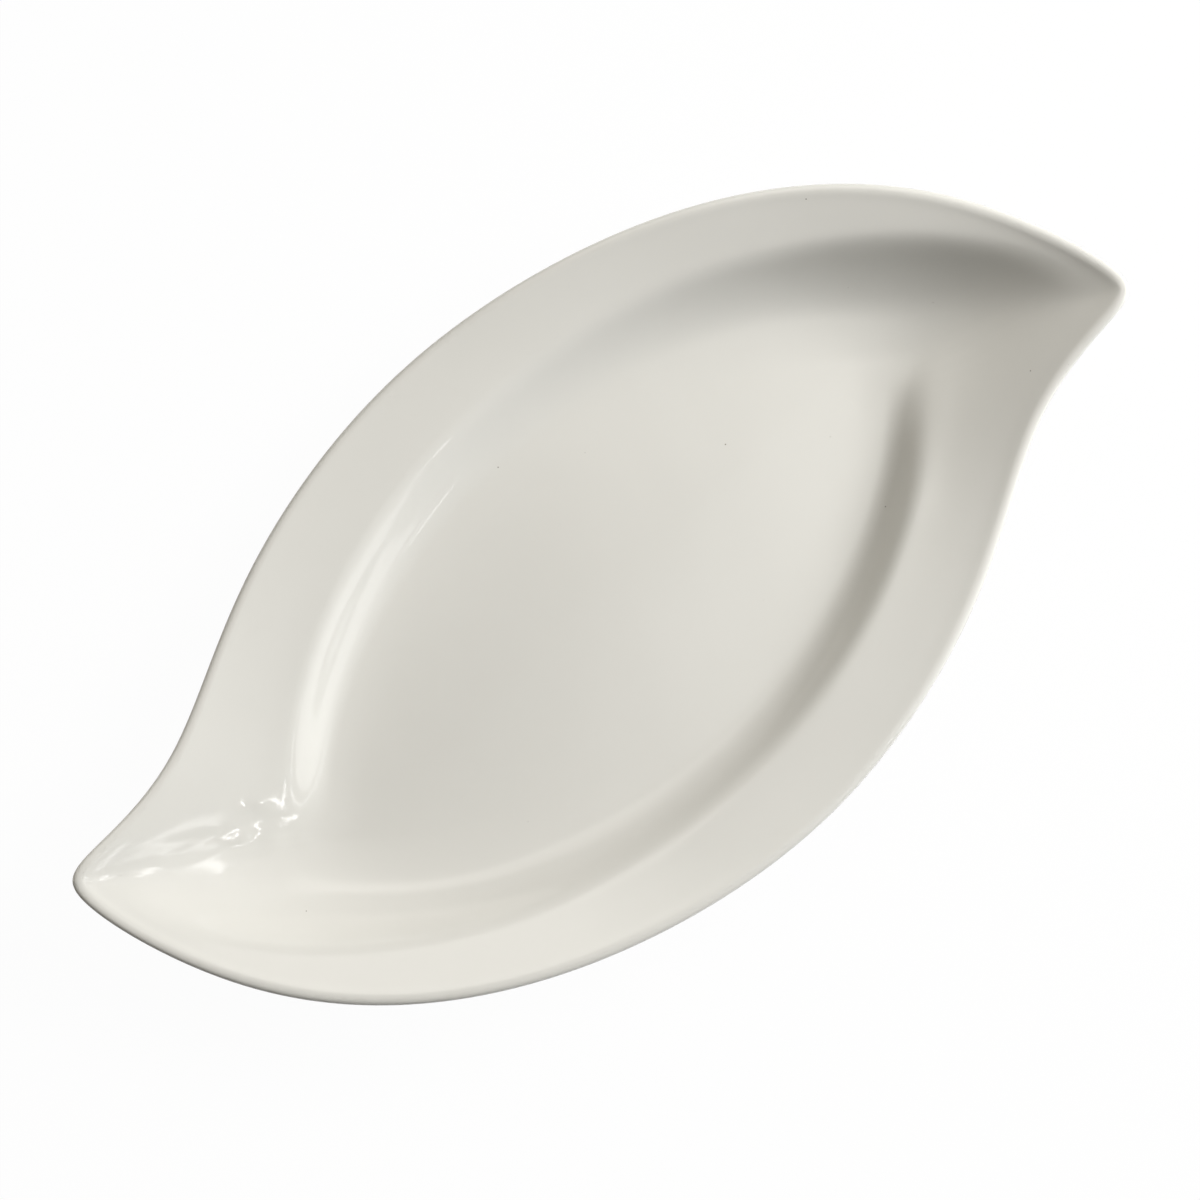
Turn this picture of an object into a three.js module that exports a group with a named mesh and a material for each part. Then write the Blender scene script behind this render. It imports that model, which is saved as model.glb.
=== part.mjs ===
// Fish platter: one swirling porcelain dish on an unglazed foot ring, millimetres, +Z up.
// The origin is on the table under the middle of the well, and +X points along the line of the two tips.
import * as THREE from 'three';

// Driving dimensions of the dish
const LENGTH = 460; // over the two tips
const WIDTH = 248; // over the two flanks
const LIP_LOW = 26; // table to the rim's top edge, where it dips at the flanks
const LIP_HIGH = 50; // table to the rim's top edge, where it is highest, at the tips
const WELL_LENGTH = 266; // well, corner to corner
const WELL_WIDTH = 110; // well, across its middle
const WELL_DOME = 1.8; // how far the well's floor swells up in its middle
const WELL_TURN_DEG = 12.5; // from the line of the tips to the well's long axis
const RIM_WIDTH = 58.5; // crest to lip, where the rim is widest, at the necks
const WALL_WIDTH = 37.5; // wall's foot to its crest, where the wall is widest, at the shoulders
const WALL_RISE = 16; // how far the wall steps up, where it is highest, at the shoulders
const CREST_ROUND = 4.3; // half the width of the roll-over from wall to rim
const FLOOR_THICKNESS = 6;
const LIP_THICKNESS = 4.4;
const LIP_ROLL = 3.6; // how far the lip rounds over, seen from above

// Driving dimensions of the foot ring
const FOOT_HEIGHT = 4;
const FOOT_WIDTH = 7; // where it joins the dish
const FOOT_LAND = 3.4; // flat that stands on the table
const FOOT_END_INSET = 30; // well's corner to the ring's outside
const FOOT_SIDE_INSET = 8; // well's side to the ring's outside

// The lip stands this far outside the rim's top edge: its roll, and a little more because the rim leans
const LIP_OVERHANG = LIP_ROLL + 0.14 * LIP_THICKNESS;
// Weights of a rib's neighbours on both sides, and of the rib itself in the middle, where they are blended
const BLEND_WEIGHTS = [1 / 64, 6 / 64, 15 / 64, 20 / 64, 15 / 64, 6 / 64, 1 / 64];
const BLEND_MIDDLE = 3;

// Half of the ribs that the dish is lofted over: neck, tip, shoulder, crown, long side, flank, heel and
// waist. A half turn about Z makes the other half.
// The columns are sketch values, which are scaled to the sizes above, all but toe and blend. lip and well
// are control points of the two guide outlines, lip along the line of the tips and across it, well along
// its own axis and across it. lipZ is the lip's height, rim and wall are widths, and rise is how far the
// wall steps up. toe is the share of the rib over which the ramp under wall and rim bends up to its full
// slope. blend is how far apart the blended neighbours stand, as a share of the way round. It is wide at
// the neck and the tip, where it rounds the valley that runs up into the tip.
const RIBS = [
  { lip: [225.5, -9.5], lipZ: 51, well: [129, 1], rim: 77, wall: 15.5, rise: 0, toe: 0.5, blend: 0.035 },
  { lip: [234.5, -1.5], lipZ: 50, well: [135.5, 2], rim: 2.5, wall: 23.5, rise: -2.5, toe: 0.7, blend: 0.035 },
  { lip: [209, 46.5], lipZ: 46.5, well: [129, 9], rim: 12, wall: 44, rise: 17.5, toe: 0.85, blend: 0.016 },
  { lip: [167, 90.5], lipZ: 43, well: [100.5, 26], rim: 22.5, wall: 26, rise: 15.5, toe: 0.8, blend: 0.012 },
  { lip: [90.5, 124], lipZ: 35, well: [57.5, 45.5], rim: 24.5, wall: 28, rise: 8, toe: 0.8, blend: 0.012 },
  { lip: [-26.5, 127.5], lipZ: 23, well: [-2.5, 61], rim: 28, wall: 22, rise: 10.5, toe: 0.8, blend: 0.012 },
  { lip: [-124.5, 79], lipZ: 30, well: [-84.5, 38.5], rim: 31, wall: 17, rise: 14, toe: 0.8, blend: 0.012 },
  { lip: [-176, 21.5], lipZ: 36.5, well: [-128, 8], rim: 34, wall: 12, rise: 5, toe: 0.65, blend: 0.012 },
];

// Steps of the lofted mesh
const ROUND_STEPS = 112;
const FLOOR_STEPS = 4;
const RAMP_STEPS = 4;
const WALL_STEPS = 4;
const CREST_STEPS = 4;
const RIM_STEPS = 3;
const LIP_STEPS = 6;
const FOOT_ROUND_STEPS = 80;
const FOOT_EDGE_STEPS = 3;
const FIT_SAMPLES = 960;
const SLOPE_STEP = 1e-4;

// Closed uniform cubic spline through the ribs' control values, u from 0 to 1.
// mate is -1 for plan coordinates, which a half turn negates, and 1 for the rest.
function spline(values, u, mate) {
  const ribs = values.length;
  const place = (u - Math.floor(u)) * 2 * ribs;
  const first = Math.floor(place);
  const t = place - first;
  const weights = [
    (1 - t) ** 3 / 6,
    (3 * t ** 3 - 6 * t ** 2 + 4) / 6,
    (-3 * t ** 3 + 3 * t ** 2 + 3 * t + 1) / 6,
    t ** 3 / 6,
  ];
  return weights.reduce((sum, weight, i) => {
    const rib = (first + i - 1 + 2 * ribs) % (2 * ribs);
    return sum + weight * values[rib % ribs] * (rib < ribs ? 1 : mate);
  }, 0);
}

// Values of a closed spline all the way round
function samples(values, mate) {
  return Array.from({ length: FIT_SAMPLES }, (_, i) => spline(values, i / FIT_SAMPLES, mate));
}

// Control values scaled until the spline reaches the given size
function fitted(values, size, mate) {
  const reach = Math.max(...samples(values, mate));
  return values.map((value) => (value * size) / reach);
}

const lipX = fitted(RIBS.map((rib) => rib.lip[0]), LENGTH / 2, -1);
const lipY = fitted(RIBS.map((rib) => rib.lip[1]), WIDTH / 2, -1);
const wellX = fitted(RIBS.map((rib) => rib.well[0]), WELL_LENGTH / 2, -1);
const wellY = fitted(RIBS.map((rib) => rib.well[1]), WELL_WIDTH / 2, -1);
const rims = fitted(RIBS.map((rib) => rib.rim), RIM_WIDTH, 1);
const walls = fitted(RIBS.map((rib) => rib.wall), WALL_WIDTH, 1);
const rises = fitted(RIBS.map((rib) => rib.rise), WALL_RISE, 1);
const toes = RIBS.map((rib) => rib.toe);
const blends = RIBS.map((rib) => rib.blend);
const lipZ = RIBS.map((rib) => rib.lipZ);
const lipZLow = Math.min(...samples(lipZ, 1));
const lipZHigh = Math.max(...samples(lipZ, 1));
const wellTurn = THREE.MathUtils.degToRad(WELL_TURN_DEG);
const floorTop = FOOT_HEIGHT + FLOOR_THICKNESS;

// Outermost line of the lip, seen from above
function lipOutline(u) {
  return new THREE.Vector2(spline(lipX, u, -1), spline(lipY, u, -1));
}

// Edge of the well's floor
function wellOutline(u) {
  const point = new THREE.Vector2(spline(wellX, u, -1), spline(wellY, u, -1));
  return point.rotateAround(new THREE.Vector2(), wellTurn);
}

// Rib of the dish at u: a straight line in plan, from the well's edge to the rim's top edge.
// A ramp with a level toe runs all the way up it, and a wall with a concave foot and a rounded crest
// steps up on the ramp. ramp and wall are their slopes.
function ribAt(u) {
  const along = lipOutline(u + SLOPE_STEP).sub(lipOutline(u - SLOPE_STEP)).normalize();
  const edge = lipOutline(u).add(new THREE.Vector2(-along.y, along.x).multiplyScalar(LIP_OVERHANG));
  const foot = wellOutline(u);
  const span = edge.distanceTo(foot);
  const rim = spline(rims, u, 1);
  const crest = span - rim;
  const round = Math.min(CREST_ROUND, rim);
  const start = Math.max(crest - spline(walls, u, 1), 0);
  const rise = spline(rises, u, 1);
  const share = (spline(lipZ, u, 1) - lipZLow) / (lipZHigh - lipZLow);
  const lip = THREE.MathUtils.lerp(LIP_LOW, LIP_HIGH, share);
  const toe = spline(toes, u, 1) * span;
  const ramp = (lip - floorTop - rise) / (span - toe / 2);
  const wall = rise / ((crest - round - start) / 2 + round);
  return { foot, edge, span, toe, start, crest, round, ramp, wall };
}

// Height of a rib's top face at the distance r from the well's edge
function ribHeight({ toe, start, crest, round, ramp, wall }, r) {
  const inToe = Math.min(r, toe);
  const ramped = inToe ** 2 / (2 * toe) + r - inToe;
  const top = crest - round;
  const inWall = THREE.MathUtils.clamp(r, start, top) - start;
  const inCrest = THREE.MathUtils.clamp(r - top, 0, 2 * round);
  const curved = inWall ** 2 / (2 * (top - start));
  const rolled = inCrest - inCrest ** 2 / (4 * round);
  return floorTop + ramp * ramped + wall * (curved + rolled);
}

// Points of the well's domed floor between its middle and its edge at u
function floorPoints(u) {
  const edge = wellOutline(u);
  return Array.from({ length: FLOOR_STEPS - 1 }, (_, i) => {
    const share = (i + 1) / FLOOR_STEPS;
    const dome = WELL_DOME * (1 - share ** 2) ** 2;
    return new THREE.Vector3(edge.x * share, edge.y * share, floorTop + dome);
  });
}

// Point of the rib at u, share 0 at the well's edge and 1 at the rim's top edge
function ribPoint(u, share) {
  const rib = ribAt(u);
  const plan = rib.foot.clone().lerp(rib.edge, share);
  return new THREE.Vector3(plan.x, plan.y, ribHeight(rib, share * rib.span));
}

// Point of the dish's top face: the rib's, blended with its neighbours', most of all half way up the rib
function topPoint(u, share) {
  const reach = spline(blends, u, 1) * 4 * share * (1 - share);
  return BLEND_WEIGHTS.reduce((sum, weight, i) => {
    const near = ribPoint(u + (i - BLEND_MIDDLE) * reach, share);
    return sum.addScaledVector(near, weight);
  }, new THREE.Vector3());
}

// Direction along the ring lines, and the normal of the top face
function topFrame(u, share) {
  const before = Math.max(share - SLOPE_STEP, 0);
  const after = Math.min(share + SLOPE_STEP, 1);
  const round = topPoint(u + SLOPE_STEP, share).sub(topPoint(u - SLOPE_STEP, share)).normalize();
  const outward = topPoint(u, after).sub(topPoint(u, before));
  return { round, normal: outward.cross(round).normalize() };
}

// Shares of the span where a rib is sampled: closer up the wall and over the crest
function stations({ span, start, crest, round }) {
  const stretches = [
    [0, start, RAMP_STEPS],
    [start, crest - round, WALL_STEPS],
    [crest - round, crest + round, CREST_STEPS],
    [crest + round, span, RIM_STEPS],
  ];
  const inner = stretches.flatMap(([from, to, steps]) =>
    Array.from({ length: steps }, (_, i) => THREE.MathUtils.lerp(from, to, i / steps) / span),
  );
  return [...inner, 1];
}

// One section of the dish: floor and top face outward, round the lip, underside back to the well
function dishSection(u) {
  const shares = stations(ribAt(u));
  const top = [];
  const under = [];
  for (const share of shares) {
    const { normal } = topFrame(u, share);
    const thickness = THREE.MathUtils.lerp(FLOOR_THICKNESS, LIP_THICKNESS, share);
    top.push(topPoint(u, share));
    under.unshift(topPoint(u, share).addScaledVector(normal, -thickness));
  }
  const { round, normal } = topFrame(u, 1);
  const outward = round.clone().cross(normal);
  const half = LIP_THICKNESS / 2;
  const centre = topPoint(u, 1).addScaledVector(normal, -half);
  const lip = Array.from({ length: LIP_STEPS - 1 }, (_, i) => {
    const turn = (Math.PI * (i + 1)) / LIP_STEPS;
    return centre
      .clone()
      .addScaledVector(normal, half * Math.cos(turn))
      .addScaledVector(outward, LIP_ROLL * Math.sin(turn));
  });
  return [...floorPoints(u), ...top, ...lip, ...under];
}

// Faces between neighbouring sections, the last joined to the first.
// closed joins each section's end to its start, and caps are middle points that close the two ends.
function loft(sections, { closed = false, caps = [] }) {
  const rows = sections[0].length;
  const points = [...sections.flat(), ...caps];
  const index = [];
  for (let i = 0; i < sections.length; i += 1) {
    const here = i * rows;
    const next = ((i + 1) % sections.length) * rows;
    for (let j = 0; j < (closed ? rows : rows - 1); j += 1) {
      const k = (j + 1) % rows;
      index.push(here + j, here + k, next + k);
      index.push(here + j, next + k, next + j);
    }
    if (caps.length > 0) {
      const first = sections.length * rows;
      index.push(first, here, next);
      index.push(first + 1, next + rows - 1, here + rows - 1);
    }
  }
  const geometry = new THREE.BufferGeometry().setFromPoints(points);
  geometry.setIndex(index);
  geometry.computeVertexNormals();
  return geometry;
}

// Dish: well, walls, rims and tips as one shell
function dishGeometry() {
  const sections = Array.from({ length: ROUND_STEPS }, (_, i) => dishSection(i / ROUND_STEPS));
  const caps = [new THREE.Vector3(0, 0, floorTop + WELL_DOME), new THREE.Vector3(0, 0, FOOT_HEIGHT)];
  return loft(sections, { caps });
}

// Foot ring: an oval under the well, flat on top and on the table, with rounded sides between
function footGeometry() {
  const halfLength = WELL_LENGTH / 2 - FOOT_END_INSET - FOOT_WIDTH / 2;
  const halfWidth = WELL_WIDTH / 2 - FOOT_SIDE_INSET - FOOT_WIDTH / 2;
  const bulge = (FOOT_WIDTH - FOOT_LAND) / 2;
  const side = Array.from({ length: FOOT_EDGE_STEPS + 1 }, (_, i) => {
    const turn = (Math.PI / 2) * (i / FOOT_EDGE_STEPS);
    return [FOOT_LAND / 2 + bulge * Math.cos(turn), FOOT_HEIGHT * (1 - Math.sin(turn))];
  });
  const profile = [...side, ...side.map(([offset, z]) => [-offset, z]).reverse()];
  const sections = Array.from({ length: FOOT_ROUND_STEPS }, (_, i) => {
    const turn = (2 * Math.PI * i) / FOOT_ROUND_STEPS;
    const middle = new THREE.Vector2(halfLength * Math.cos(turn), halfWidth * Math.sin(turn));
    const outward = new THREE.Vector2(halfWidth * Math.cos(turn), halfLength * Math.sin(turn)).normalize();
    return profile.map(([offset, z]) => {
      const point = middle.clone().addScaledVector(outward, offset);
      return new THREE.Vector3(point.x, point.y, z);
    });
  });
  return loft(sections, { closed: true });
}

const glazedPorcelain = new THREE.MeshStandardMaterial({ color: 0xe9e7df, roughness: 0.12, metalness: 0 });
const barePorcelain = new THREE.MeshStandardMaterial({ color: 0xe3ddd0, roughness: 0.75, metalness: 0 });

const platter = new THREE.Group();

const body = new THREE.Mesh(dishGeometry(), glazedPorcelain);
body.name = 'platter_body';
platter.add(body);

const footRing = new THREE.Mesh(footGeometry(), barePorcelain);
footRing.name = 'foot_ring';
footRing.rotation.z = wellTurn;
platter.add(footRing);

export default platter;
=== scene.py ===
"""Fish platter: the glazed porcelain dish and its bare foot ring, lit from a window on the right."""
import math

import bpy
import numpy as np
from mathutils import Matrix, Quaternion, Vector


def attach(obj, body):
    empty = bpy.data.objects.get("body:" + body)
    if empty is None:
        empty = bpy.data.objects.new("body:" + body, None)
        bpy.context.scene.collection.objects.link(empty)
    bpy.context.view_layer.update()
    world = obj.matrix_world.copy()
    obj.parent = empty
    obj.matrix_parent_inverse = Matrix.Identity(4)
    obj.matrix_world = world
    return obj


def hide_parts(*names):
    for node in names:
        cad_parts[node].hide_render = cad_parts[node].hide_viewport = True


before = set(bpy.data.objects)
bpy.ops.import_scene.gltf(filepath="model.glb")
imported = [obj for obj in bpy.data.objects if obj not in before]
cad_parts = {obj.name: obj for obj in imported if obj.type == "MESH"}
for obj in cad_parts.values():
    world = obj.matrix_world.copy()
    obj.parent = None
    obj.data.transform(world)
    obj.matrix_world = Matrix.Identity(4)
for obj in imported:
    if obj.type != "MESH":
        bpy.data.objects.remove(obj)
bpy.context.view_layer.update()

MM = 0.001

# Sizes of the dish, shared with the solids. The rolled lip reaches past the rim's top edge by its roll
# and, as the rim leans, by a share of its thickness.
LENGTH = 460 * MM
WIDTH = 248 * MM
LIP_LOW = 26 * MM
LIP_HIGH = 50 * MM
WELL_LENGTH = 266 * MM
WELL_WIDTH = 110 * MM
WELL_DOME = 1.8 * MM
WELL_TURN = math.radians(12.5)
RIM_WIDTH = 58.5 * MM
WALL_WIDTH = 37.5 * MM
WALL_RISE = 16 * MM
CREST_ROUND = 4.3 * MM
FLOOR_THICKNESS = 6 * MM
LIP_THICKNESS = 4.4 * MM
LIP_ROLL = 3.6 * MM
LIP_LEAN = 0.14
LIP_OVERHANG = LIP_ROLL + LIP_LEAN * LIP_THICKNESS
BLEND_WEIGHTS = (1 / 64, 6 / 64, 15 / 64, 20 / 64, 15 / 64, 6 / 64, 1 / 64)
BLEND_MIDDLE = 3

# Sizes of the foot ring, shared with the solids
FOOT_HEIGHT = 4 * MM
FOOT_WIDTH = 7 * MM
FOOT_LAND = 3.4 * MM
FOOT_END_INSET = 30 * MM
FOOT_SIDE_INSET = 8 * MM

# Half of the dish's ribs, shared with the solids: sketch values that are scaled to the sizes above.
# They are control points of the lip's and the well's outlines, the lip's height, the rim's and the
# wall's widths, the wall's rise, the ramp's level toe as a share of the rib, and how far apart the
# neighbours stand that a rib is blended with, as a share of the way round.
LIP_X = (225.5, 234.5, 209, 167, 90.5, -26.5, -124.5, -176)
LIP_Y = (-9.5, -1.5, 46.5, 90.5, 124, 127.5, 79, 21.5)
LIP_Z = (51, 50, 46.5, 43, 35, 23, 30, 36.5)
WELL_X = (129, 135.5, 129, 100.5, 57.5, -2.5, -84.5, -128)
WELL_Y = (1, 2, 9, 26, 45.5, 61, 38.5, 8)
RIMS = (77, 2.5, 12, 22.5, 24.5, 28, 31, 34)
WALLS = (15.5, 23.5, 44, 26, 28, 22, 17, 12)
RISES = (0, -2.5, 17.5, 15.5, 8, 10.5, 14, 5)
TOES = (0.5, 0.7, 0.85, 0.8, 0.8, 0.8, 0.8, 0.65)
BLENDS = (0.035, 0.035, 0.016, 0.012, 0.012, 0.012, 0.012, 0.012)

# Slight forms of the glaze, finer than the solids: a bead along the lip, ripples that run out to one
# tip, and pooled drops at their foot. Places and reaches round the dish are shares of the way round.
# RIPPLE_SCALE brings the ripples to full height where they are highest on the rib. A drop has its
# place round the dish, its place on the rib as a share from well to lip, and its radius.
BEAD_HEIGHT = 0.12 * MM
BEAD_WIDTH = 2 * MM
RIPPLE_HEIGHT = 0.02 * MM
RIPPLES_ROUND = 46
RIPPLE_PLACE = 0.51
RIPPLE_REACH = 0.035
RIPPLE_SCALE = 27 / 4
DROP_HEIGHT = 0.32 * MM
DROPS = (
    (0.500, 0.52, 4.5 * MM),
    (0.463, 0.50, 3.5 * MM),
    (0.528, 0.36, 4.5 * MM),
    (0.534, 0.25, 4.0 * MM),
)

# Steps of the fine mesh, and of the measuring of splines and slopes
ROUND_STEPS = 640
RAMP_STEPS = 16
WALL_STEPS = 14
CREST_STEPS = 12
RIM_STEPS = 16
LIP_STEPS = 14
FLOOR_STEPS = 10
FOOT_ROUND_STEPS = 320
FOOT_EDGE_STEPS = 8
FIT_SAMPLES = 960
SLOPE_STEP = 1e-4

# Looks of the porcelain: colours by the value of a noise, the specks' by the distance from their middle
GLAZE_TONES = ((0.3, (0.795, 0.789, 0.745)), (0.7, (0.825, 0.819, 0.775)))
GLAZE_ROUGHNESS = 0.08
GLAZE_IOR = 1.5
GLAZE_WAVES = 0.25 * MM
GLAZE_RIPPLES = 0.012 * MM
SPECK_TONES = ((0.012, (0.3, 0.27, 0.24)), (0.02, (1, 1, 1)))
SPECK_SCALE = 60.0
BARE_TONES = ((0.35, (0.66, 0.62, 0.54)), (0.65, (0.74, 0.70, 0.62)))
BARE_ROUGHNESS = 0.8
BARE_GRAIN = 0.05 * MM

# The floor, which is all but white to the eye, and the room's light from all sides
FLOOR_HALF = 6.0
FLOOR_COLOR = (0.9, 0.9, 0.9)
FLOOR_ROUGHNESS = 0.9
FLOOR_GLOW = 0.97
ROOM_COLOR = (1.0, 0.93, 0.82)
ROOM_STRENGTH = 0.045

# What the glaze mirrors of the window: name, turn and elevation in degrees, size, and power
WINDOW_DISTANCE = 1.66
WINDOW_PARTS = (
    ("window_strip", 9, 49.8, (0.65, 0.025), 0.58),
    ("window_end", -30, 47, (0.13, 0.025), 0.2),
    ("window_bar", -3, 43, (1.25, 0.03), 0.65),
    ("window_pane", -7, 22, (1.15, 0.78), 4.7),
)

# The room's dim reflection: lamps of shrinking size, one before the other, so that it fades out
GLOW_SHARES = (1.25, 1.05, 0.85, 0.65, 0.45)
GLOW_WIDTH = 1.3
GLOW_HEIGHT = 1.0
GLOW_DISTANCE = 2.1
GLOW_SPACING = 0.1
GLOW_POWER = 1.5

# The photograph's view: pixels of its square frame, and angles of the camera
FRAME_PIXELS = 1200
VIEW_DISTANCE_PIXELS = 2500
TIP_LINE_PIXELS = 1208
TIP_LINE_TURN = math.radians(30.613)
CENTRE_PIXEL = (610.0, 583.0)
LEAN_RIGHT = math.radians(0.8)
LEAN_DOWN = math.radians(9.7)
LOOK_HEIGHT = 42 * MM
SENSOR_WIDTH = 36.0


# Surface of the dish

def spline(values, u, mate):
    """Closed uniform cubic spline. mate is -1 for what a half turn negates, and 1 for the rest."""
    ring = np.concatenate([values, np.multiply(values, mate)])
    place = (u - np.floor(u)) * len(ring)
    first = np.floor(place).astype(int)
    t = place - first
    weights = (
        (1 - t) ** 3 / 6,
        (3 * t**3 - 6 * t**2 + 4) / 6,
        (-3 * t**3 + 3 * t**2 + 3 * t + 1) / 6,
        t**3 / 6,
    )
    return sum(weight * ring[(first + i - 1) % len(ring)] for i, weight in enumerate(weights))


ALL_ROUND = np.arange(FIT_SAMPLES) / FIT_SAMPLES


def fitted(values, size, mate):
    """Control values scaled until the spline reaches the given size."""
    return np.multiply(values, size / spline(values, ALL_ROUND, mate).max())


lip_x = fitted(LIP_X, LENGTH / 2, -1)
lip_y = fitted(LIP_Y, WIDTH / 2, -1)
well_x = fitted(WELL_X, WELL_LENGTH / 2, -1)
well_y = fitted(WELL_Y, WELL_WIDTH / 2, -1)
rims = fitted(RIMS, RIM_WIDTH, 1)
walls = fitted(WALLS, WALL_WIDTH, 1)
rises = fitted(RISES, WALL_RISE, 1)
lip_z_low = spline(LIP_Z, ALL_ROUND, 1).min()
lip_z_high = spline(LIP_Z, ALL_ROUND, 1).max()
floor_top = FOOT_HEIGHT + FLOOR_THICKNESS


def unit(vectors):
    return vectors / np.linalg.norm(vectors, axis=-1, keepdims=True)


def turned_with_well(x, y):
    """Places along and across the well, turned to the axes of the dish."""
    cos = math.cos(WELL_TURN)
    sin = math.sin(WELL_TURN)
    return x * cos - y * sin, x * sin + y * cos


def lip_outline(u):
    return np.stack([spline(lip_x, u, -1), spline(lip_y, u, -1)], -1)


def well_outline(u):
    return np.stack(turned_with_well(spline(well_x, u, -1), spline(well_y, u, -1)), -1)


def ribs_at(u):
    """Ribs from the well's edge to the rim's top edge: a ramp, and a wall that steps up on it."""
    along = unit(lip_outline(u + SLOPE_STEP) - lip_outline(u - SLOPE_STEP))
    inward = np.stack([-along[..., 1], along[..., 0]], -1)
    edge = lip_outline(u) + inward * LIP_OVERHANG
    foot = well_outline(u)
    span = np.linalg.norm(edge - foot, axis=-1)
    rim = spline(rims, u, 1)
    crest = span - rim
    rounding = np.minimum(CREST_ROUND, rim)
    start = np.maximum(crest - spline(walls, u, 1), 0)
    rise = spline(rises, u, 1)
    height = (spline(LIP_Z, u, 1) - lip_z_low) / (lip_z_high - lip_z_low)
    lip = LIP_LOW + (LIP_HIGH - LIP_LOW) * height
    toe = spline(TOES, u, 1) * span
    return {
        "foot": foot,
        "edge": edge,
        "span": span,
        "toe": toe,
        "start": start,
        "crest": crest,
        "rounding": rounding,
        "ramp": (lip - floor_top - rise) / (span - toe / 2),
        "wall": rise / ((crest - rounding - start) / 2 + rounding),
    }


def rib_height(rib, r):
    """Height of the top face at the distance r from the well's edge."""
    in_toe = np.minimum(r, rib["toe"])
    ramped = in_toe**2 / (2 * rib["toe"]) + r - in_toe
    top = rib["crest"] - rib["rounding"]
    in_wall = np.clip(r, rib["start"], top) - rib["start"]
    in_crest = np.clip(r - top, 0, 2 * rib["rounding"])
    curved = in_wall**2 / (2 * (top - rib["start"]))
    rolled = in_crest - in_crest**2 / (4 * rib["rounding"])
    return floor_top + rib["ramp"] * ramped + rib["wall"] * (curved + rolled)


def rib_points(u, share):
    """Points of the ribs, share 0 at the well's edge and 1 at the rim's top edge."""
    rib = ribs_at(u)
    plan = rib["foot"] + (rib["edge"] - rib["foot"]) * share[..., None]
    return np.concatenate([plan, rib_height(rib, share * rib["span"])[..., None]], -1)


def top_points(u, share):
    """Points of the top face: the ribs, softened along the ring lines between the well and the lip."""
    reach = spline(BLENDS, u, 1) * 4 * share * (1 - share)
    return sum(
        weight * rib_points(u + (i - BLEND_MIDDLE) * reach, share)
        for i, weight in enumerate(BLEND_WEIGHTS)
    )


def top_frames(u, share):
    """Directions along the ring lines, and the normals of the top face."""
    before = np.maximum(share - SLOPE_STEP, 0)
    after = np.minimum(share + SLOPE_STEP, 1)
    around = unit(top_points(u + SLOPE_STEP, share) - top_points(u - SLOPE_STEP, share))
    outward = top_points(u, after) - top_points(u, before)
    return around, unit(np.cross(outward, around))


def stations(rib):
    """Shares of the span where the ribs are sampled, closer up the wall and over the crest."""
    stops = (
        (0 * rib["start"], rib["start"], RAMP_STEPS),
        (rib["start"], rib["crest"] - rib["rounding"], WALL_STEPS),
        (rib["crest"] - rib["rounding"], rib["crest"] + rib["rounding"], CREST_STEPS),
        (rib["crest"] + rib["rounding"], rib["span"], RIM_STEPS),
    )
    shares = [
        (start + (end - start) * i / steps) / rib["span"]
        for start, end, steps in stops
        for i in range(steps)
    ]
    return np.stack(shares + [np.ones_like(rib["span"])], -1)


def glaze_relief(u, share, top):
    """How far the glaze stands proud of the top face."""
    from_lip = np.linalg.norm(top - top[:, -1:], axis=-1)
    relief = BEAD_HEIGHT * np.exp(-((from_lip / BEAD_WIDTH) ** 2))
    near_tip = np.exp(-(((u - RIPPLE_PLACE) / RIPPLE_REACH) ** 2))
    strength = near_tip * RIPPLE_SCALE * share**2 * (1 - share)
    relief += RIPPLE_HEIGHT * strength * np.cos(2 * math.pi * (RIPPLES_ROUND * u + share))
    for drop_u, drop_share, radius in DROPS:
        middle = top_points(np.array(drop_u), np.array(drop_share))
        away = np.linalg.norm(top - middle, axis=-1) / radius
        relief += DROP_HEIGHT * np.exp(-(away**2))
    return relief


# Meshes

def lofted(name, sections, closed, caps=()):
    """Mesh over an array of sections, each joined to the next and the last to the first.

    Open sections are closed by two caps, the points that their first and their last rows run to.
    """
    count, rows = sections.shape[:2]
    here = np.arange(count)[:, None] * rows
    after = np.roll(here, -1, axis=0)
    j = np.arange(rows if closed else rows - 1)[None, :]
    k = (j + 1) % rows
    faces = np.stack([here + j, here + k, after + k, after + j], -1).reshape(-1, 4).tolist()
    points = sections.reshape(-1, 3).tolist() + [list(cap) for cap in caps]
    if caps:
        first = count * rows
        for a, b in zip(here[:, 0].tolist(), after[:, 0].tolist()):
            faces.append([first, a, b])
            faces.append([first + 1, b + rows - 1, a + rows - 1])
    mesh = bpy.data.meshes.new(name)
    mesh.from_pydata(points, [], faces)
    mesh.validate()
    mesh.polygons.foreach_set("use_smooth", [True] * len(mesh.polygons))
    piece = bpy.data.objects.new(name, mesh)
    bpy.context.scene.collection.objects.link(piece)
    return piece


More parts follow.
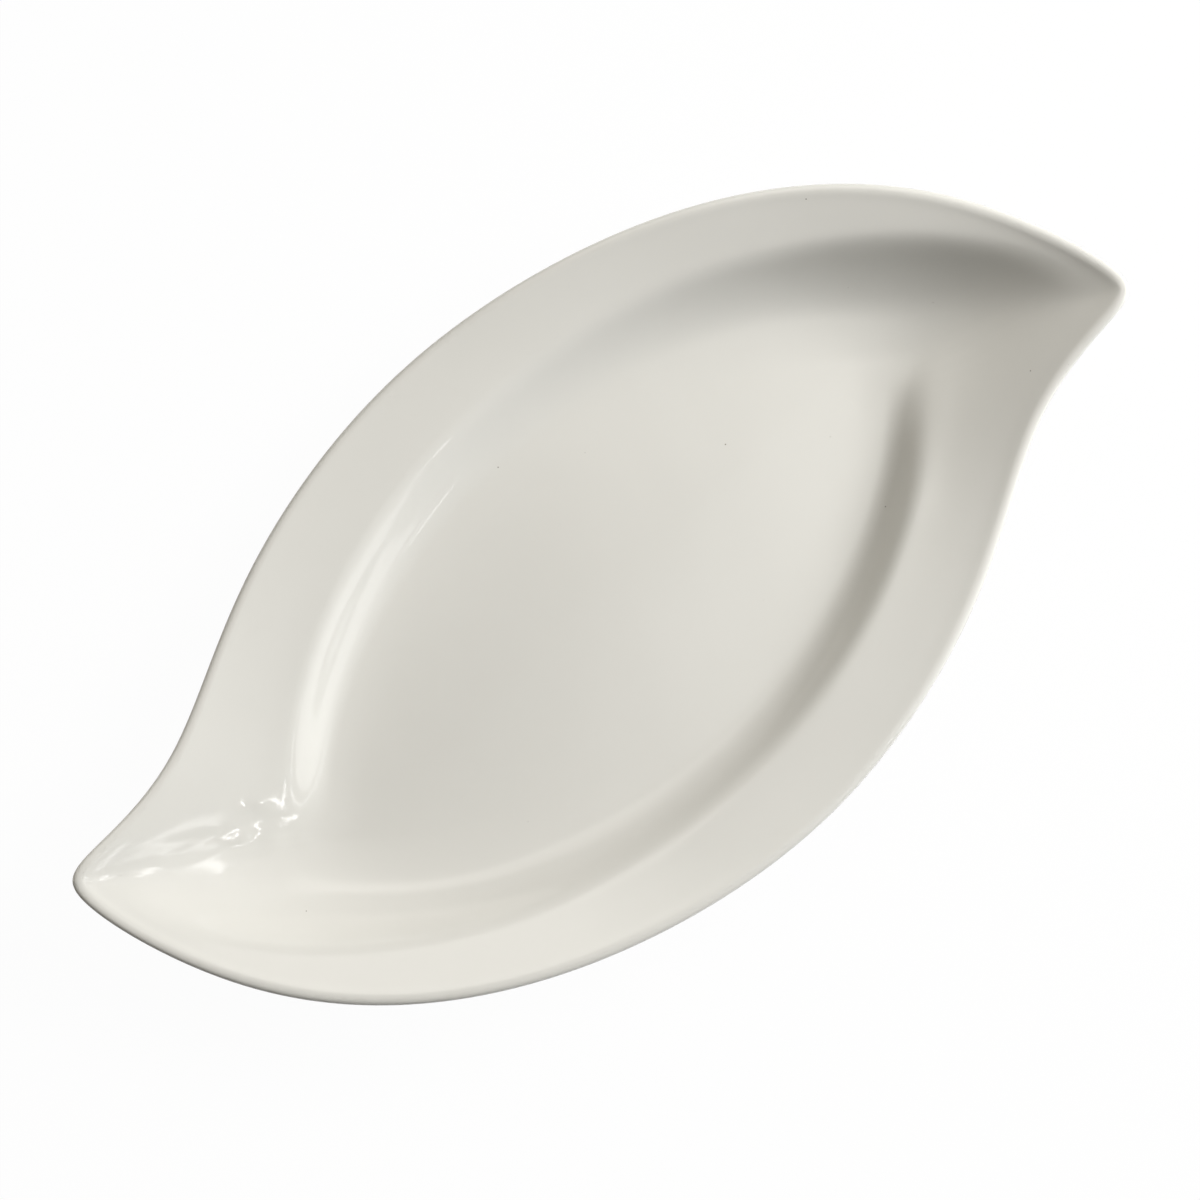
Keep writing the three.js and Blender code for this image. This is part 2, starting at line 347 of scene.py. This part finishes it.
def make_dish():
    u = np.arange(ROUND_STEPS) / ROUND_STEPS
    shares = stations(ribs_at(u))
    u = np.repeat(u[:, None], shares.shape[1], axis=1)

    # The underside lies below the plain top face, and the glaze stands on it
    top = top_points(u, shares)
    around, normals = top_frames(u, shares)
    thickness = FLOOR_THICKNESS + (LIP_THICKNESS - FLOOR_THICKNESS) * shares
    under = (top - normals * thickness[..., None])[:, ::-1]
    top += normals * glaze_relief(u, shares, top)[..., None]

    # The lip rolls over from the top face to the underside
    half = (LIP_THICKNESS + BEAD_HEIGHT) / 2
    outward = np.cross(around[:, -1], normals[:, -1])
    centre = top[:, -1] - normals[:, -1] * half
    turns = math.pi * np.arange(1, LIP_STEPS) / LIP_STEPS
    across = half * np.cos(turns)[None, :, None] * normals[:, -1:]
    beyond = LIP_ROLL * np.sin(turns)[None, :, None] * outward[:, None]
    lip = centre[:, None] + across + beyond

    # The well's floor is domed, and the base below it is flat
    middle = np.array([0, 0, floor_top])
    inner = np.arange(1, FLOOR_STEPS)[None, :, None] / FLOOR_STEPS
    floor = middle + (top[:, :1] - middle) * inner
    base = floor[:, ::-1] - np.array([0, 0, FLOOR_THICKNESS])
    floor[..., 2] += WELL_DOME * (1 - inner[..., 0] ** 2) ** 2

    sections = np.concatenate([floor, top, lip, under, base], axis=1)
    caps = ((0, 0, floor_top + WELL_DOME), (0, 0, FOOT_HEIGHT))
    return lofted("glazed_dish", sections, closed=False, caps=caps)


def make_foot():
    half_length = WELL_LENGTH / 2 - FOOT_END_INSET - FOOT_WIDTH / 2
    half_width = WELL_WIDTH / 2 - FOOT_SIDE_INSET - FOOT_WIDTH / 2
    bulge = (FOOT_WIDTH - FOOT_LAND) / 2
    turns = math.pi / 2 * np.arange(FOOT_EDGE_STEPS + 1) / FOOT_EDGE_STEPS
    offsets = FOOT_LAND / 2 + bulge * np.cos(turns)
    heights = FOOT_HEIGHT * (1 - np.sin(turns))
    offsets = np.concatenate([offsets, -offsets[::-1]])
    heights = np.concatenate([heights, heights[::-1]])
    turn = 2 * math.pi * np.arange(FOOT_ROUND_STEPS)[:, None] / FOOT_ROUND_STEPS
    out = unit(np.stack([half_width * np.cos(turn), half_length * np.sin(turn)], -1))
    x = half_length * np.cos(turn) + out[..., 0] * offsets
    y = half_width * np.sin(turn) + out[..., 1] * offsets
    z = np.broadcast_to(heights, x.shape)
    sections = np.stack([*turned_with_well(x, y), z], -1)
    return lofted("bare_foot", sections, closed=True)


# Materials

def material(name):
    made = bpy.data.materials.new(name)
    made.use_nodes = True
    nodes = made.node_tree.nodes
    return made, nodes, made.node_tree.links, nodes["Principled BSDF"]


def noise(nodes, links, place, scale, detail):
    node = nodes.new("ShaderNodeTexNoise")
    node.inputs["Scale"].default_value = scale
    node.inputs["Detail"].default_value = detail
    links.new(place, node.inputs["Vector"])
    return node.outputs["Fac"]


def color_ramp(nodes, links, value, stops):
    node = nodes.new("ShaderNodeValToRGB")
    for element, (position, color) in zip(node.color_ramp.elements, stops):
        element.position = position
        element.color = (*color, 1)
    links.new(value, node.inputs["Fac"])
    return node.outputs["Color"]


def bump(nodes, links, height, distance, under=None):
    node = nodes.new("ShaderNodeBump")
    node.inputs["Strength"].default_value = 1.0
    node.inputs["Distance"].default_value = distance
    links.new(height, node.inputs["Height"])
    if under:
        links.new(under, node.inputs["Normal"])
    return node.outputs["Normal"]


def glazed_porcelain():
    made, nodes, links, shader = material("glazed_porcelain")
    place = nodes.new("ShaderNodeTexCoord").outputs["Object"]
    tone = color_ramp(nodes, links, noise(nodes, links, place, scale=9.0, detail=3.0), GLAZE_TONES)
    spots = nodes.new("ShaderNodeTexVoronoi")
    spots.inputs["Scale"].default_value = SPECK_SCALE
    links.new(place, spots.inputs["Vector"])
    specks = color_ramp(nodes, links, spots.outputs["Distance"], SPECK_TONES)
    mix = nodes.new("ShaderNodeMix")
    mix.data_type = "RGBA"
    mix.blend_type = "MULTIPLY"
    mix.inputs["Factor"].default_value = 1.0
    links.new(tone, mix.inputs["A"])
    links.new(specks, mix.inputs["B"])
    links.new(mix.outputs["Result"], shader.inputs["Base Color"])
    shader.inputs["Roughness"].default_value = GLAZE_ROUGHNESS
    shader.inputs["IOR"].default_value = GLAZE_IOR
    waves = bump(nodes, links, noise(nodes, links, place, scale=22.0, detail=1.0), GLAZE_WAVES)
    fine = noise(nodes, links, place, scale=160.0, detail=2.0)
    ripples = bump(nodes, links, fine, GLAZE_RIPPLES, under=waves)
    links.new(ripples, shader.inputs["Normal"])
    return made


def bare_porcelain():
    made, nodes, links, shader = material("bare_porcelain")
    place = nodes.new("ShaderNodeTexCoord").outputs["Object"]
    tone = color_ramp(nodes, links, noise(nodes, links, place, scale=420.0, detail=4.0), BARE_TONES)
    links.new(tone, shader.inputs["Base Color"])
    shader.inputs["Roughness"].default_value = BARE_ROUGHNESS
    grain = bump(nodes, links, noise(nodes, links, place, scale=2400.0, detail=3.0), BARE_GRAIN)
    links.new(grain, shader.inputs["Normal"])
    return made


def white_floor():
    """White where the camera or the glaze sees it, and a plain pale floor to all other light."""
    made, nodes, links, shader = material("white_floor")
    shader.inputs["Base Color"].default_value = (*FLOOR_COLOR, 1)
    shader.inputs["Roughness"].default_value = FLOOR_ROUGHNESS
    shader.inputs["Specular IOR Level"].default_value = 0.0
    glow = nodes.new("ShaderNodeEmission")
    glow.inputs["Color"].default_value = (1, 1, 1, 1)
    glow.inputs["Strength"].default_value = 1.0
    rays = nodes.new("ShaderNodeLightPath")
    seen = rays.outputs["Is Camera Ray"]
    for kind in ("Is Glossy Ray", "Is Transmission Ray"):
        either = nodes.new("ShaderNodeMath")
        either.operation = "MAXIMUM"
        links.new(seen, either.inputs[0])
        links.new(rays.outputs[kind], either.inputs[1])
        seen = either.outputs[0]
    part = nodes.new("ShaderNodeMath")
    part.operation = "MULTIPLY"
    part.inputs[1].default_value = FLOOR_GLOW
    links.new(seen, part.inputs[0])
    mix = nodes.new("ShaderNodeMixShader")
    links.new(part.outputs[0], mix.inputs["Fac"])
    links.new(shader.outputs["BSDF"], mix.inputs[1])
    links.new(glow.outputs["Emission"], mix.inputs[2])
    links.new(mix.outputs["Shader"], nodes["Material Output"].inputs["Surface"])
    return made


# Stage, light and camera

def image_direction(turn, elevation):
    """Direction as in the photograph: turn from its right towards its top, elevation from level."""
    around = turn - TIP_LINE_TURN
    level = math.cos(elevation)
    return Vector((level * math.cos(around), level * math.sin(around), math.sin(elevation)))


def area_light(
    name, turn, elevation, distance, size, power, color=(1, 1, 1), lights=True, mirrored=True
):
    """Lamp that faces the middle of the platter. The glaze mirrors it, it lights, or both."""
    lamp = bpy.data.lights.new(name, "AREA")
    lamp.shape = "RECTANGLE"
    lamp.size, lamp.size_y = size
    lamp.energy = power
    lamp.color = color
    holder = bpy.data.objects.new(name, lamp)
    away = image_direction(math.radians(turn), math.radians(elevation))
    holder.location = away * distance
    holder.rotation_euler = away.to_track_quat("Z", "Y").to_euler()
    holder.visible_diffuse = lights
    holder.visible_glossy = mirrored
    bpy.context.scene.collection.objects.link(holder)


def make_lights():
    area_light(
        "window", turn=19.5, elevation=36, distance=1.55, size=(1.25, 0.9), power=29.5,
        mirrored=False,
    )
    for name, turn, elevation, size, power in WINDOW_PARTS:
        area_light(name, turn, elevation, WINDOW_DISTANCE, size, power, lights=False)
    area_light(
        "room_side", turn=110, elevation=50, distance=2.2, size=(2.0, 1.4), power=14.4,
        color=(1.0, 0.94, 0.84), mirrored=False,
    )
    for share in GLOW_SHARES:
        area_light(
            f"room_glow_{round(100 * share)}", turn=96, elevation=50,
            distance=GLOW_DISTANCE + GLOW_SPACING * share,
            size=(GLOW_WIDTH * share, GLOW_HEIGHT * share), power=GLOW_POWER * share**2,
            color=(1.0, 0.97, 0.92), lights=False,
        )


def make_floor():
    left, right = -FLOOR_HALF, FLOOR_HALF
    corners = [(left, left, 0), (right, left, 0), (right, right, 0), (left, right, 0)]
    mesh = bpy.data.meshes.new("floor")
    mesh.from_pydata(corners, [], [(0, 1, 2, 3)])
    floor = bpy.data.objects.new("floor", mesh)
    mesh.materials.append(white_floor())
    bpy.context.scene.collection.objects.link(floor)


def make_world():
    """The room's dim light, with white behind the floor where the camera looks past it."""
    world = bpy.data.worlds.new("room")
    bpy.context.scene.world = world
    world.use_nodes = True
    nodes, links = world.node_tree.nodes, world.node_tree.links
    room = nodes["Background"]
    room.inputs["Color"].default_value = (*ROOM_COLOR, 1)
    room.inputs["Strength"].default_value = ROOM_STRENGTH
    white = nodes.new("ShaderNodeBackground")
    white.inputs["Color"].default_value = (1, 1, 1, 1)
    rays = nodes.new("ShaderNodeLightPath")
    mix = nodes.new("ShaderNodeMixShader")
    links.new(rays.outputs["Is Camera Ray"], mix.inputs["Fac"])
    links.new(room.outputs["Background"], mix.inputs[1])
    links.new(white.outputs["Background"], mix.inputs[2])
    links.new(mix.outputs["Shader"], nodes["World Output"].inputs["Surface"])


def make_camera():
    pixel = LENGTH / TIP_LINE_PIXELS
    camera = bpy.data.cameras.new("camera")
    camera.sensor_width = SENSOR_WIDTH
    camera.lens = SENSOR_WIDTH * VIEW_DISTANCE_PIXELS / FRAME_PIXELS
    camera.shift_x = (FRAME_PIXELS / 2 - CENTRE_PIXEL[0]) / FRAME_PIXELS
    camera.shift_y = (CENTRE_PIXEL[1] - FRAME_PIXELS / 2) / FRAME_PIXELS
    holder = bpy.data.objects.new("camera", camera)
    aim = Vector((math.sin(LEAN_RIGHT), -math.sin(LEAN_DOWN), 0))
    aim.z = math.sqrt(1 - aim.length_squared)
    turn = Quaternion((0, 0, 1), -TIP_LINE_TURN) @ Vector((0, 0, 1)).rotation_difference(aim)
    holder.rotation_euler = turn.to_euler()
    back = turn @ Vector((0, 0, VIEW_DISTANCE_PIXELS * pixel))
    holder.location = Vector((0, 0, LOOK_HEIGHT)) + back
    bpy.context.scene.collection.objects.link(holder)
    bpy.context.scene.camera = holder


dish = make_dish()
dish.data.materials.append(glazed_porcelain())
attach(dish, "root")
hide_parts("platter_body")

foot = make_foot()
foot.data.materials.append(bare_porcelain())
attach(foot, "root")
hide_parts("foot_ring")

make_floor()
make_world()
make_lights()
make_camera()
bpy.context.scene.view_settings.view_transform = "Standard"
